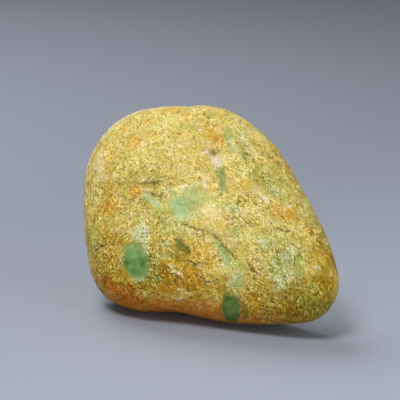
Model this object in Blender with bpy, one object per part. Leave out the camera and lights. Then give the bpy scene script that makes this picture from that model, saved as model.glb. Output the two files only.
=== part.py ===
"""A jadeite boulder: one river-worn stone, about the size of a palm, standing on its small worn flat.

The stone is shaped in its face frame first: X across the broad face, Z up it, and Y through the stone, away
from the viewer. Its outline is true there, and what gives it depth, flats and relief moves the skin along Y.
Then the stone is turned into the pose in which it stands, and its foot is worn flat. Lengths are in metres.
"""

import math

import bmesh
import bpy
import numpy as np
from mathutils import Matrix, Vector, noise

MM = 0.001

# The outline of the broad face, in millimetres from its middle, anticlockwise from the right-hand tip
OUTLINE = (
    (48.6, -20.7),
    (45.8, -9.3),
    (40.4, 3.2),
    (33.0, 16.6),
    (26.6, 26.4),
    (18.5, 34.3),
    (10.4, 39.4),
    (2.2, 41.8),
    (-6.1, 41.3),
    (-14.5, 41.4),
    (-25.2, 39.3),
    (-34.7, 33.0),
    (-41.3, 22.6),
    (-43.3, 9.0),
    (-42.2, -8.3),
    (-39.6, -21.2),
    (-34.3, -28.2),
    (-24.5, -32.3),
    (-12.5, -33.4),
    (0.0, -35.2),
    (10.0, -36.5),
    (20.0, -36.9),
    (31.0, -36.6),
    (38.9, -35.7),
    (44.3, -32.3),
    (47.7, -27.0),
)
OUTLINE_STEPS = 12

# Thickness in front of and behind the outline, and how boxy a section is (2 is an ellipse)
FRONT_BULGE = 25.5 * MM
BACK_BULGE = 26.0 * MM
SECTION_POWER = 2.45

# The stone is fullest at this place on its face (X, Z) and thins by this share per metre right and up
FULLEST = (-4.0 * MM, -9.0 * MM)
THINNING = (1.5, 6.0)
# How far the plane of the outline is turned about the upright and leaned back, as slopes
TURN_SLOPE = 0.17
LEAN_SLOPE = 0.10
# The rim wanders to and fro round the outline
RIM_WANDER = 1.6 * MM
RIM_WAVES = 3
RIM_START = 0.6

# Broad worn flats: which way each faces, its distance from the middle, and how softly it meets the rest
WORN_FLATS = (
    ((-0.06, -0.95, 0.30), 23.2 * MM, 5.0 * MM),
    ((0.44, -0.87, 0.22), 28.5 * MM, 6.0 * MM),
    ((0.04, -0.80, -0.60), 33.5 * MM, 5.0 * MM),
    ((-0.62, -0.77, 0.10), 36.0 * MM, 5.0 * MM),
    ((0.08, 0.99, 0.10), 22.5 * MM, 4.0 * MM),
    ((-0.40, 0.76, 0.50), 33.0 * MM, 5.0 * MM),
    ((0.50, 0.84, -0.20), 31.0 * MM, 7.0 * MM),
    ((-0.55, 0.70, -0.45), 38.5 * MM, 5.0 * MM),
)

# Swells and hollows, in millimetres and degrees: side (-1 front, 1 back), X, Z, half-width, half-height,
# turn, rise
SWELLS = (
    (-1, 1.5, 3.5, 8.0, 6.5, 20, 0.8),
    (-1, -20.0, 25.0, 15.0, 10.0, 30, 0.6),
    (-1, -8.5, -14.0, 9.0, 6.0, -10, -1.0),
    (-1, -5.2, 36.0, 3.6, 9.0, 10, -0.9),
    (-1, 17.0, -13.0, 9.0, 4.5, -40, -0.7),
    (-1, 36.0, -15.0, 6.0, 10.0, 20, 0.6),
    (-1, -33.0, -10.0, 5.0, 10.0, 0, -0.6),
    (-1, 12.0, 26.0, 4.5, 12.0, 15, -0.5),
    (-1, -24.6, -13.7, 4.0, 7.0, 0, -0.5),
    (1, -18.0, 12.0, 14.0, 9.0, 35, -1.3),
    (1, 14.0, 16.0, 12.0, 7.0, -50, 1.0),
    (1, 24.0, -18.0, 9.0, 7.0, 10, -1.1),
    (1, -14.0, -20.0, 9.0, 6.0, -20, 0.9),
)

# Grooves and pits, in millimetres and degrees: side, X, Z, half-length, half-width, turn, depth
GROOVES = (
    (-1, 6.5, -9.8, 6.0, 2.2, -58, 0.7),
    (-1, 4.2, 26.0, 2.6, 2.6, 0, 0.7),
    (-1, 17.2, -15.4, 4.0, 2.0, -50, 0.5),
    (-1, 37.5, -7.0, 12.0, 2.0, -62, 0.5),
    (-1, 31.0, 3.0, 9.0, 2.0, -58, 0.4),
    (-1, 30.8, -8.6, 3.4, 2.0, 15, 0.5),
    (1, 2.0, -4.0, 16.0, 2.4, 28, 0.9),
    (1, -27.0, -8.0, 3.2, 2.8, 0, 0.9),
    (1, 20.0, 4.0, 2.8, 2.6, 0, 0.8),
)

# Ledges, in millimetres and degrees: side, X, Z, half-length, how far the step reaches, turn, drop
LEDGES = (
    (-1, -18.8, 13.7, 6.0, 7.0, 4, 0.7),
    (-1, -5.0, -1.8, 5.0, 5.0, -14, 0.6),
    (-1, 27.8, -1.8, 6.0, 5.0, -22, 0.8),
    (-1, -36.0, 16.0, 7.0, 5.0, 62, 0.5),
    (1, 24.0, 22.0, 12.0, 8.0, -52, 1.1),
    (1, -30.0, 20.0, 9.0, 7.0, 40, 0.9),
    (1, 6.0, -22.0, 11.0, 7.0, 8, 0.9),
)
# How sharply a ledge steps down
STEP_SOFTNESS = 1.3

# A shallow bay under the front of the foot: its middle (X), half-width, reach to the back, and rise
BAY_MIDDLE = -8.0 * MM
BAY_HALF_WIDTH = 7.0 * MM
BAY_REACH = 11.0 * MM
BAY_RISE = 1.0 * MM
# The bay fades out between these heights
BAY_LOW = -32.0 * MM
BAY_TOP = -20.0 * MM

# The surface rolls gently all over
ROLL_SIZE = 15.0 * MM
ROLL_DEPTH = 0.6 * MM

# The pose in which the stone stands: how far its face leans back and rolls, in degrees
LEAN_BACK = 12.0
FACE_ROLL = 4.6
# How much of the lowest point the small flat foot has worn away
FOOT_WEAR = 0.75 * MM
# Points of the cut edge nearer than this become one
FOOT_MERGE = 0.1 * MM
CUT_TOLERANCE = 0.001 * MM

# Squares along each edge of the cube that the stone's mesh starts from
GRID = 27

SKIN_COLOUR = (0.50, 0.36, 0.10, 1.0)
SKIN_ROUGHNESS = 0.45


def closed_curve(points, steps):
    """Points of a smooth closed curve through the given ones, a Catmull-Rom spline."""
    curve = []
    count = len(points)
    for i in range(count):
        before, start, end, after = (Vector(points[(i + k) % count]) for k in (-1, 0, 1, 2))
        for step in range(steps):
            t = step / steps
            curve.append(
                0.5
                * (
                    2 * start
                    + t * (end - before)
                    + t**2 * (2 * before - 5 * start + 4 * end - after)
                    + t**3 * (3 * start - before - 3 * end + after)
                )
            )
    return curve


def outline_by_angle():
    """The outline as a list of angles round its middle and a list of its distances there."""
    curve = closed_curve(OUTLINE, OUTLINE_STEPS)
    return [math.atan2(point.y, point.x) for point in curve], [point.length * MM for point in curve]


def soft_excess(excess, softness):
    """How much of an excess over a limit is worn off, rounded off over the softness."""
    if excess < -softness:
        return 0.0
    if excess > softness:
        return excess
    return (excess + softness) ** 2 / (4 * softness)


def worn_off(place, side):
    """How much the flats on one side wear off the stone's depth at a place."""
    total = 0.0
    for facing, distance, softness in WORN_FLATS:
        normal = Vector(facing).normalized()
        if normal.y * side > 0:
            total += soft_excess((normal.dot(place) - distance) / abs(normal.y), softness)
    return total


def turned(place, x, z, turn):
    """The place's distances from a feature's middle, in millimetres, along it and across it."""
    over, up = place.x / MM - x, place.z / MM - z
    cosine, sine = math.cos(math.radians(turn)), math.sin(math.radians(turn))
    return over * cosine + up * sine, up * cosine - over * sine


def relief(place, side):
    """How far the swells, grooves and ledges raise one side of the stone at a place."""
    total = 0.0
    for on_side, x, z, half_width, half_height, turn, rise in SWELLS:
        if on_side == side:
            along, across = turned(place, x, z, turn)
            total += rise * math.exp(-((along / half_width) ** 2) - (across / half_height) ** 2)
    for on_side, x, z, half_length, half_width, turn, depth in GROOVES:
        if on_side == side:
            along, across = turned(place, x, z, turn)
            total -= depth * math.exp(-((along / half_length) ** 4) - (across / half_width) ** 2)
    for on_side, x, z, half_length, reach, turn, drop in LEDGES:
        if on_side == side:
            along, across = turned(place, x, z, turn)
            step = 0.5 - 0.5 * math.tanh(across / STEP_SOFTNESS)
            total -= drop * step * math.exp(-((along / half_length) ** 4) - min(across / reach, 0) ** 2)
    return total * MM


def share_between(value, start, end):
    """How far a value has come from a start to an end, from 0 to 1, eased at both."""
    share = min(max((value - start) / (end - start), 0.0), 1.0)
    return share * share * (3 - 2 * share)


def bay_rise(place):
    """How much the bay under the foot lifts the stone's skin at a place."""
    across = math.exp(-(((place.x - BAY_MIDDLE) / BAY_HALF_WIDTH) ** 2))
    back = share_between(place.y, BAY_REACH, 0.0)
    low = share_between(place.z, BAY_TOP, BAY_LOW)
    return BAY_RISE * across * back * low


def face_point(direction, angles, distances):
    """Where a direction from the stone's middle meets its skin, in the face frame."""
    rim = math.hypot(direction.x, direction.z)
    angle = math.atan2(direction.z, direction.x)
    side = -1 if direction.y < 0 else 1
    power = 2 / SECTION_POWER
    reach = np.interp(angle, angles, distances, period=2 * math.pi) * rim**power
    place = Vector((reach * math.cos(angle), 0.0, reach * math.sin(angle)))
    bulge = FRONT_BULGE if side < 0 else BACK_BULGE
    bulge *= 1 - THINNING[0] * (place.x - FULLEST[0]) - THINNING[1] * (place.z - FULLEST[1])
    place.y = side * bulge * abs(direction.y) ** power
    inward = 1 - (1 - abs(direction.y)) ** 3
    place.y -= side * inward * worn_off(place, side)
    place.y += side * inward * relief(place, side)
    place.y += side * inward * ROLL_DEPTH * noise.noise(place / ROLL_SIZE)
    place.y += RIM_WANDER * math.sin(RIM_WAVES * angle + RIM_START) * rim**2
    place.z += bay_rise(place)
    place.y += LEAN_SLOPE * place.z - TURN_SLOPE * place.x
    return place


def ball_mesh():
    """An even ball of squares: a gridded cube with its points moved out to a sphere."""
    ball = bmesh.new()
    bmesh.ops.create_cube(ball, size=2.0)
    bmesh.ops.subdivide_edges(ball, edges=ball.edges, cuts=GRID - 1, use_grid_fill=True)
    for vertex in ball.verts:
        evened = Vector(math.tan(c * math.pi / 4) for c in vertex.co)
        vertex.co = evened.normalized()
    return ball


def standing_pose():
    """The turn from the face frame to the pose in which the stone stands."""
    leaned = Matrix.Rotation(math.radians(-LEAN_BACK), 3, "X")
    rolled = Matrix.Rotation(math.radians(-FACE_ROLL), 3, "Y")
    return leaned @ rolled


def wear_foot(stone):
    """Lowers the stone onto Z = 0 and cuts its foot flat there."""
    lowest = min(vertex.co.z for vertex in stone.verts)
    bmesh.ops.translate(stone, verts=stone.verts, vec=(0, 0, -lowest - FOOT_WEAR))
    everything = stone.verts[:] + stone.edges[:] + stone.faces[:]
    bmesh.ops.bisect_plane(
        stone, geom=everything, dist=CUT_TOLERANCE, plane_co=(0, 0, 0), plane_no=(0, 0, 1), clear_inner=True
    )
    near_foot = [vertex for vertex in stone.verts if vertex.co.z < FOOT_MERGE]
    for vertex in near_foot:
        vertex.co.z = 0.0
    bmesh.ops.remove_doubles(stone, verts=near_foot, dist=FOOT_MERGE)
    bmesh.ops.edgeloop_fill(stone, edges=[edge for edge in stone.edges if edge.is_boundary])


def centre_over_origin(stone):
    """Moves the stone so that the middle of its box is over the origin."""
    for axis in range(2):
        values = [vertex.co[axis] for vertex in stone.verts]
        shift = [0.0, 0.0, 0.0]
        shift[axis] = -(min(values) + max(values)) / 2
        bmesh.ops.translate(stone, verts=stone.verts, vec=shift)


def skin_material():
    """The stone's plain ochre finish."""
    material = bpy.data.materials.new("ochre_skin")
    material.use_nodes = True
    shader = material.node_tree.nodes["Principled BSDF"]
    shader.inputs["Base Color"].default_value = SKIN_COLOUR
    shader.inputs["Roughness"].default_value = SKIN_ROUGHNESS
    shader.inputs["Metallic"].default_value = 0.0
    return material


def boulder():
    """The stone as one closed solid."""
    angles, distances = outline_by_angle()
    stone = ball_mesh()
    for vertex in stone.verts:
        vertex.co = face_point(vertex.co, angles, distances)
    bmesh.ops.rotate(stone, verts=stone.verts, matrix=standing_pose())
    wear_foot(stone)
    centre_over_origin(stone)
    bmesh.ops.recalc_face_normals(stone, faces=stone.faces)
    mesh = bpy.data.meshes.new("boulder")
    stone.to_mesh(mesh)
    stone.free()
    mesh.shade_smooth()
    mesh.materials.append(skin_material())
    boulder_object = bpy.data.objects.new("boulder", mesh)
    bpy.context.scene.collection.objects.link(boulder_object)
    return boulder_object


def main():
    for old in list(bpy.data.objects):
        bpy.data.objects.remove(old)
    boulder()


main()
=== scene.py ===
"""The looks of a river-worn jadeite boulder: worn relief, granular ochre skin, green windows.

The stone's form is the frame's own. Its marks are laid out in the face frame: X across the broad
face and Z up it, in millimetres from its middle, and Y through the stone, away from the viewer.
"""

import math

import bmesh
import bpy
import numpy as np
from mathutils import Matrix, Vector, noise


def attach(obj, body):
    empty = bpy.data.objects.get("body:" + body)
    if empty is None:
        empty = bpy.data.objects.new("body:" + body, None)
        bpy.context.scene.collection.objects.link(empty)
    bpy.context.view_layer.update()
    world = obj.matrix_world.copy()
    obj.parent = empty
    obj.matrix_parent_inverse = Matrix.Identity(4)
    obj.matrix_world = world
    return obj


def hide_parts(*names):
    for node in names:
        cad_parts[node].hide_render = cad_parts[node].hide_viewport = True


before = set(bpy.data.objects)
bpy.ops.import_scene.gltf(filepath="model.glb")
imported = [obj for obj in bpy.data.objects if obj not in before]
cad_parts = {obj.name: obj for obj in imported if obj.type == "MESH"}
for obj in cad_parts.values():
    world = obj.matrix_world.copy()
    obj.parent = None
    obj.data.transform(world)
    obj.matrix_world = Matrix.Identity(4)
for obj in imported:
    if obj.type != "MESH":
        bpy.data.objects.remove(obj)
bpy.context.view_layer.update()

# Lengths are in millimetres where nothing else is said
MM = 0.001

# The pose in which the stone stands, in degrees, and where the middle of its face is then
LEAN_BACK = 12.0
FACE_ROLL = 4.6
FACE_MIDDLE = (-3.17, 2.54, 34.27)
# The plane of the rim, which parts the face from the back, as slopes of Y up the face and across it
RIM_LEAN = 0.10
RIM_TURN = 0.17
# How far the marks of the face fade out round the rim
RIM_FADE = 3.5
# The rim's painted highlight, laid in as pale quartz: how it slants across the face, where it
# begins and is whole up that slant, its half-width, and how pale it is (0 to 1)
RIM_SLANT = 0.6
RIM_HIGHLIGHT_FROM_TO = (36.0, 46.0)
RIM_HIGHLIGHT_WIDTH = 4.0
RIM_HIGHLIGHT = 0.8
# How far marks stray from where they are drawn, and the size of each straying, so that none has
# a clean outline
STRAYINGS = ((0.7, 3.2), (0.35, 1.2))

FACE = -1
BACK = 1

# Windows of clear jade, and the brown facet beside one: side, how pale (0 deep, 1 mint), how
# olive (0 to 1), how softly the edge fades, and the outline (X, Z)
WINDOWS = {
    "left_window": (
        FACE, 0.46, 0.1, 1.2,
        ((-24.7, -7.4), (-22.4, -8), (-20.6, -11), (-18.8, -14), (-19.6, -18),
         (-21.4, -20.8), (-23.8, -21.4), (-25.8, -19.2), (-27.6, -16.4), (-28.2, -13.6),
         (-27.7, -10.1), (-26.3, -8)),
    ),
    "mint_window": (
        FACE, 0.8, 0.1, 1.9,
        ((-10.4, 8.8), (-6.8, 9.2), (-4.6, 7.6), (-3.9, 5.2),
         (-4.4, 2.2), (-6.6, 0.6), (-9.6, 1.6), (-11.4, 4.8)),
    ),
    "mint_haze": (
        FACE, 0.78, 0.4, 2.8,
        ((-6.4, 9), (-4, 11.2), (-0.9, 10.6), (0.2, 7.4), (-1.4, 4.6), (-4.8, 2.6)),
    ),
    "small_window": (
        FACE, 0.38, 0.6, 0.6,
        ((-9.6, -6), (-8, -6.4), (-6.2, -8.6), (-7.4, -10), (-9.4, -8.6)),
    ),
    "small_window_foot": (
        FACE, 0.45, 1, 0.6,
        ((-7.8, -9.6), (-6, -8.4), (-4.4, -10.8), (-4.8, -12.2), (-6.8, -11.6)),
    ),
    "foot_window": (
        FACE, 0.33, 0.4, 1.1,
        ((7.6, -26), (11.6, -25.7), (13.6, -29.3), (13.2, -33.4), (12, -36.2),
         (8, -35.4), (6.1, -30)),
    ),
    "brown_facet": (
        FACE, 0.5, 1, 0.9,
        ((13.2, -28.6), (14.6, -29.6), (16.2, -32.2), (15.8, -34.2), (14.3, -34.8), (13.4, -32.5)),
    ),
    "slender_streak": (
        FACE, 0.68, 0.4, 1,
        ((5.6, 18.6), (7.5, 18.6), (8.2, 14), (8.3, 10.9), (7.3, 10), (6.2, 13), (5.5, 16)),
    ),
    "mint_groove": (
        FACE, 0.84, 0.3, 1.1,
        ((3.8, -6.2), (4.6, -6.2), (6.6, -9), (9.2, -11.6), (9.4, -13.4),
         (8.8, -16.2), (7.4, -15), (6, -12.2), (4.8, -9.2)),
    ),
    "mint_drop": (FACE, 0.8, 0.1, 1.2, ((12, -19.4), (12.9, -19.5), (13, -20.7), (12.2, -21))),
    "pale_slash": (
        FACE, 0.95, 0.1, 1,
        ((-20.6, 9.4), (-19.4, 9.6), (-17.2, 7.1), (-15.4, 5), (-15.9, 4.2),
         (-17.8, 5.8), (-19.6, 7.8)),
    ),
    "top_streak": (FACE, 0.8, 0.1, 1.1, ((9, 30.6), (9.7, 30.6), (10.1, 28.9), (9.5, 28.7))),
    "top_streak_foot": (FACE, 0.6, 0.4, 1, ((9.8, 26.6), (10.3, 26.6), (10.5, 25.1), (10, 25.1))),
    "back_window": (
        BACK, 0.55, 0.1, 1.2,
        ((-16.4, 13), (-13, 15.8), (-10.6, 13.6), (-8.2, 14.6), (-5.4, 10.2), (-7.6, 8.2),
         (-6.8, 4.8), (-10.8, 3.4), (-12.4, 0.6), (-15.2, 3.8), (-18.8, 6.2), (-17.2, 9.8)),
    ),
    "back_streak": (
        BACK, 0.8, 0.2, 1.3,
        ((14, 6), (16, 6.5), (19.5, -1), (22.5, -9), (21.5, -11.5),
         (18.5, -6), (15, 0)),
    ),
    "back_drop": (
        BACK, 0.45, 0.35, 1.1,
        ((-26.4, -11.6), (-24, -12.8), (-22.6, -11.2), (-21.4, -14.6), (-22.8, -16.4),
         (-22, -19.6), (-24.8, -18.2), (-26.2, -19.2), (-27.6, -15.2)),
    ),
}

# How far from its outline a window is told, and how fast a nearer one's looks outweigh the others'
OUTLINE_REACH = 4.0
NEARNESS = 2.0

# Clouds in the windows, paler above 0 and deeper below it, laid out as the blotches below
CLOUD_BLOTCHES = (
    (FACE, -27.4, -14.6, 1.9, 1.6, -0.42),
    (FACE, -21.2, -14.6, 1, 1.9, -0.38),
    (FACE, -24.4, -17, 1.2, 0.8, -0.25, 60),
    (FACE, -24, -9.6, 2.6, 1.8, 0.18, 60),
    (FACE, -23.4, -20.6, 2.4, 1.6, 0.4),
    (FACE, -24.2, -12.4, 1.4, 1, 0.2),
    (FACE, -11.6, 4, 1.4, 1.4, -0.25),
    (FACE, -7.6, 1.2, 3, 1, 0.35),
    (FACE, -1.8, 8.6, 2.2, 2.2, 0.2),
    (FACE, 7.8, -9.8, 3.4, 0.7, -0.4, -48),
    (FACE, 11, -35, 3.6, 1.6, -0.2),
    (FACE, 8.2, -27, 2.4, 1.4, -0.2),
    (FACE, 10.4, -30.6, 1.8, 2.6, 0.1),
    (FACE, 6.4, 17.4, 1.4, 2, -0.1),
    (FACE, 7.6, 12, 1.2, 1.8, 0.15),
    (BACK, -15, 6, 3, 2.4, -0.35),
    (BACK, -8, 12, 3, 2.4, 0.3),
)

# Blotches in the skin: side, X, Z, half-length, half-width, strength, and the turn in degrees of
# those that are turned.
# Orange iron stains
IRON_BLOTCHES = (
    (FACE, 3.2, 32, 3.8, 2.8, 0.75, -50),
    (FACE, 6.2, 28.6, 3.2, 2.2, 0.75, -50),
    (FACE, -28, 34.7, 3.4, 1.8, 0.5, 60),
    (FACE, -24, 28.4, 2.8, 1.8, 0.45, 20),
    (FACE, -16, 30, 2.4, 1.6, 0.35, 60),
    (FACE, -33.4, 22.8, 3.6, 1.6, 0.35, 80),
    (FACE, -24.6, 10.4, 3.4, 2.3, 1, 60),
    (FACE, -16.8, 12, 2, 1.2, 0.6, -30),
    (FACE, -33.2, 5, 4.4, 2.6, 0.7, 30),
    (FACE, -5, 37.8, 3, 1.4, 0.6, 20),
    (FACE, -10, 40.2, 3, 1.2, 0.6, 5),
    (FACE, 30.4, 2.4, 5.2, 2, 0.6, -4),
    (FACE, 24.4, 6.2, 3, 1.6, 0.5, -50),
    (FACE, 17, 8, 3, 2.2, 0.4),
    (FACE, 15, 13.6, 2.6, 2, 0.5),
    (FACE, 37.4, -4, 3, 1.6, 0.5, -60),
    (FACE, 29, 22, 10, 1.6, 0.6, -56),
    (FACE, 38.6, -14, 7, 3.4, 0.2, -60),
    (FACE, -5.2, -19.7, 6, 4.2, 0.6, -30),
    (FACE, -13, -22, 5.4, 4, 0.4),
    (FACE, -12, -25.8, 11, 3, 0.5),
    (FACE, -3, -11, 5, 4, 0.5, -60),
    (FACE, -31, -8, 4, 3, 0.4),
    (FACE, 16, -27, 6, 4, 0.4),
    (FACE, 12, -8, 2, 1.6, 0.6),
    (FACE, 25.7, 13.4, 2.4, 1.8, 0.4),
    (FACE, 24, -22, 5, 3, 0.3, 30),
    (BACK, -30, 2, 7, 3, 0.5, 50),
    (BACK, 6, 24, 8, 3, 0.5, -30),
    (BACK, 28, -20, 9, 3.6, 0.5, 20),
)
# Deeper, more strongly coloured ochre
OCHRE_BLOTCHES = (
    (FACE, -16, -19, 27, 12, 0.9, -4),
    (FACE, -36, 2, 26, 6, 0.5, 88),
    (FACE, 38, -28, 15, 9, 0.85, 20),
    (FACE, 42, -12, 14, 4, 0.6, -68),
    (FACE, 14, -30, 14, 7, 0.7),
    (FACE, 12, 10, 8, 4, 0.25, 60),
    (FACE, 2, 35.6, 6, 3, 0.5, -60),
    (BACK, -14, -20, 24, 10, 0.8),
    (BACK, 26, 0, 14, 8, 0.5, -60),
)
# Rust, most of it along the foot
RUST_BLOTCHES = (
    (FACE, -14, -33, 34, 5.8, 1, -5),
    (FACE, -29, -25.2, 10, 3.8, 0.65, -24),
    (FACE, -25, -23, 2.6, 1.8, 0.35),
    (FACE, -4, -31, 10, 3.2, 0.9),
    (FACE, 22, -36, 14, 4.4, 0.4),
    (FACE, -5, -20.5, 4, 2.4, 0.3, -30),
    (FACE, -13, -24, 3.4, 2.2, 0.3),
    (BACK, -4, -33, 26, 6, 0.8),
)
# Pale quartz, with painted highlights on the upper left and top right rims and a painted glint by
# the top streak
QUARTZ_AND_HIGHLIGHT_BLOTCHES = (
    (FACE, 2, 24.2, 1.7, 1, 1, -60),
    (FACE, 4.6, 21.6, 3.2, 1.7, 1, -76),
    (FACE, 6.2, 20.6, 1.8, 1, 0.6, -80),
    (FACE, 0.3, 24.2, 0.9, 0.7, 0.8),
    (FACE, -0.8, 32.4, 0.8, 1.1, 0.8),
    (FACE, 8.2, 22.2, 2.6, 0.8, 0.5, -80),
    (FACE, -6.3, 12.5, 1.5, 1, 0.8),
    (FACE, -3.8, 13, 2, 0.8, 0.45, -40),
    (FACE, 0.4, 13.6, 3.2, 1, 0.9, -84),
    (FACE, 17.5, 12.7, 2.1, 1.4, 0.35),
    (FACE, 20.2, -6.7, 1.8, 1.1, 0.7),
    (FACE, 22.2, 7.8, 2.6, 1, 0.85, -42),
    (FACE, 31, 5, 1.1, 0.8, 0.8),
    (FACE, 11, 0.6, 2.6, 0.8, 0.6, -60),
    (FACE, 19.3, -14.9, 0.9, 0.7, 0.8),
    (FACE, 30.4, -23.1, 1, 0.7, 0.6),
    (FACE, 40.4, -16.3, 2, 0.7, 0.7, -50),
    (FACE, 35.8, -1.8, 1.2, 0.8, 0.6),
    (FACE, 27.5, -27, 1.3, 0.9, 0.5),
    (FACE, -9, -27.3, 2.4, 0.8, 0.6, 6),
    (FACE, -10.8, -16, 1.8, 0.7, 0.95, -45),
    (FACE, -8.2, -18.6, 1.4, 0.7, 0.95, -30),
    (FACE, -25.3, 34, 1.5, 0.9, 0.4),
    (FACE, -20.6, 35.8, 1.4, 0.9, 0.4),
    # Partly a painted highlight on the upper left rim
    (FACE, -36.9, 20.6, 6, 2.2, 0.5, 80),
    (FACE, -20.4, 14.9, 1.6, 0.5, 0.8, 4),
    (FACE, -16.2, 6, 1.6, 1.1, 1, -40),
    (FACE, -19.8, 9.2, 1.5, 0.9, 0.8, -30),
    (FACE, -21, -4.4, 4.2, 2.2, 0.4, 72),
    # A painted glint
    (FACE, 9.9, 28.4, 0.9, 0.7, 1),
    (FACE, 1.4, 3.6, 4.6, 3.4, 0.42),
    (FACE, 27.2, 10.4, 2, 1.2, 0.5, -40),
    # A painted highlight on the top right rim
    (FACE, 13.4, 35.4, 2.6, 0.8, 0.6, -36),
    (BACK, -20, 22, 4, 2.4, 0.8, 30),
    (BACK, 10, -2, 3, 1.8, 0.6, -60),
    (BACK, 30, 2, 3.4, 1.6, 0.6, 70),
    (BACK, -12, -10, 2.6, 1.5, 0.6),
)
# Milky green-white jade under the skin
MILK_BLOTCHES = (
    (FACE, -21.8, -4.8, 4.8, 2.8, 1, 72),
    (FACE, -20, -8.4, 4.4, 1.5, 1, 84),
    (FACE, -21.4, -19.8, 2.4, 1, 0.9, 50),
    (FACE, -29.2, -13.4, 3.4, 0.6, 0.6, 86),
    (FACE, -12.6, -8.6, 2.6, 1.6, 0.5, 80),
    (FACE, -14.4, -12.4, 2, 1.4, 0.6),
    (FACE, -7.6, 0.4, 3.4, 1, 0.7),
    (FACE, -3.2, 2.4, 2.6, 1.8, 0.6),
    (FACE, 7.6, -16.4, 3, 2.4, 0.4),
    (FACE, -14.1, -8.3, 2.4, 1.8, 0.5),
    (FACE, -35.8, 16, 2.2, 3, 0.4),
    (FACE, 32.9, -19.2, 2.4, 2, 0.5),
    (FACE, 6.2, 21.4, 2.4, 1, 0.7, -80),
    (FACE, -6.9, 2.4, 2.4, 1.6, 0.6),
    (FACE, 11.2, -19.2, 2.4, 2, 0.3),
    (FACE, -5, 11.6, 3.4, 2.2, 0.6, 30),
    (FACE, -12.4, 10.6, 3, 1.6, 0.4, -20),
    (FACE, 10.6, 5, 3.4, 2.4, 0.55, -50),
    (FACE, 28, -16, 8, 4.8, 0.75, 84),
    (FACE, 22, -8, 3.4, 2.8, 0.5),
    (FACE, 14.5, 30.9, 1.8, 1, 0.9, -60),
    (FACE, 10.2, 27, 3.4, 1.6, 0.6, -70),
    (FACE, 15.4, 27, 4, 2, 0.4, -60),
    (FACE, 24.4, 11.4, 3, 1.4, 0.6, -60),
    (FACE, 11.6, -21.4, 4, 2.4, 0.5, 80),
    (FACE, 12.8, -9, 4, 1.8, 0.3, -56),
    (FACE, -38, 10, 5, 1.6, 0.4, 86),
    (FACE, -36.4, -14.4, 2, 1.2, 0.5, 60),
    (BACK, -11, 9, 8, 6.6, 0.5, 40),
    (BACK, 22, -6, 9, 2.4, 0.5, -64),
)
# Thin green veils
VEIL_BLOTCHES = (
    (FACE, -22.3, -3.6, 4.4, 2.6, 0.8, 74),
    (FACE, -19.6, -11, 3.4, 1.4, 0.6, 90),
    (FACE, -20.4, -19, 2.4, 1.6, 0.7, 60),
    (FACE, -9, 5, 6.4, 5.6, 0.75),
    (FACE, -4.6, 11, 4.6, 3, 0.6, 40),
    (FACE, -0.6, 8, 3.6, 2.4, 0.6),
    (FACE, -19, 8, 4, 2, 0.7, -40),
    (FACE, -17.6, 12, 2.6, 1.6, 0.4),
    (FACE, 9.4, 29, 5, 1.6, 1, -74),
    (FACE, 5, 36.6, 4, 1.6, 0.5, -40),
    (FACE, 14.6, 23.6, 3, 1.4, 0.9, -62),
    (FACE, 15, 30.4, 4, 2.2, 0.4, -60),
    (FACE, 16, 18, 12, 5, 0.3, -60),
    (FACE, 23.6, 12.4, 4, 1.8, 0.85, -60),
    (FACE, 26.6, 9.4, 3.6, 2.2, 0.6, -40),
    (FACE, 27, 16, 9, 4, 0.5, -60),
    (FACE, 7, 13, 7, 1.8, 0.6, 86),
    (FACE, 5.4, 6, 3, 1.8, 0.5, -30),
    (FACE, 11, 4, 4.4, 2.6, 0.65, -60),
    (FACE, 12.8, -4.8, 3.4, 2.2, 0.75, -60),
    (FACE, 20.2, -6.6, 3, 2.4, 0.6),
    (FACE, 25.4, -4.6, 4.4, 3, 0.5),
    (FACE, 13, -15.4, 3.4, 2, 0.85, -40),
    (FACE, 12.6, -20.6, 3, 2.6, 0.5),
    (FACE, 34, -15.6, 5.6, 2.2, 0.95, 86),
    (FACE, 28.2, -17, 8, 4.6, 0.7, 80),
    (FACE, 31.6, -9.6, 4, 3, 0.5),
    (FACE, 7.4, -10, 8.4, 2.8, 0.6, -62),
    (FACE, 11, -23, 5, 3.8, 0.55, 80),
    (FACE, 41, -31, 8, 5, 0.6, 10),
    (FACE, -37.6, -23.7, 1.9, 1.3, 0.8, 60),
    (FACE, -38.6, -9, 3.4, 2, 0.7, 85),
    (FACE, -6.3, 40.5, 1.8, 1, 0.8),
    (FACE, -9.6, -2.4, 5.4, 3.4, 0.6),
    (FACE, 8, -4.6, 2.8, 2, 0.5),
    (FACE, 36, -26, 8, 4, 0.5, 20),
    (FACE, 36.5, -22.6, 3, 2.2, 0.6),
    (FACE, -16.8, -12, 2.6, 2.4, 0.8),
    (FACE, -16.6, -20, 3, 2.2, 0.6),
    (FACE, -10.5, -11.9, 2.4, 2, 0.5),
    (FACE, -38.6, -3.6, 2.2, 3.4, 0.5),
    (FACE, -17, -15.6, 3.4, 2, 0.75, 80),
    (FACE, 37.4, 3, 10, 2.2, 0.7, -64),
    (FACE, 2.4, 36, 3, 2, 0.5, -30),
    (FACE, -22, 20, 10, 6, 0.22),
    (BACK, -11.5, 9, 9, 8, 0.7, 40),
    (BACK, 18, -2, 12, 4, 0.7, -64),
    (BACK, -24, -15, 5, 6, 0.6),
    (BACK, 32, 8, 8, 4, 0.6, -60),
)

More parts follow.
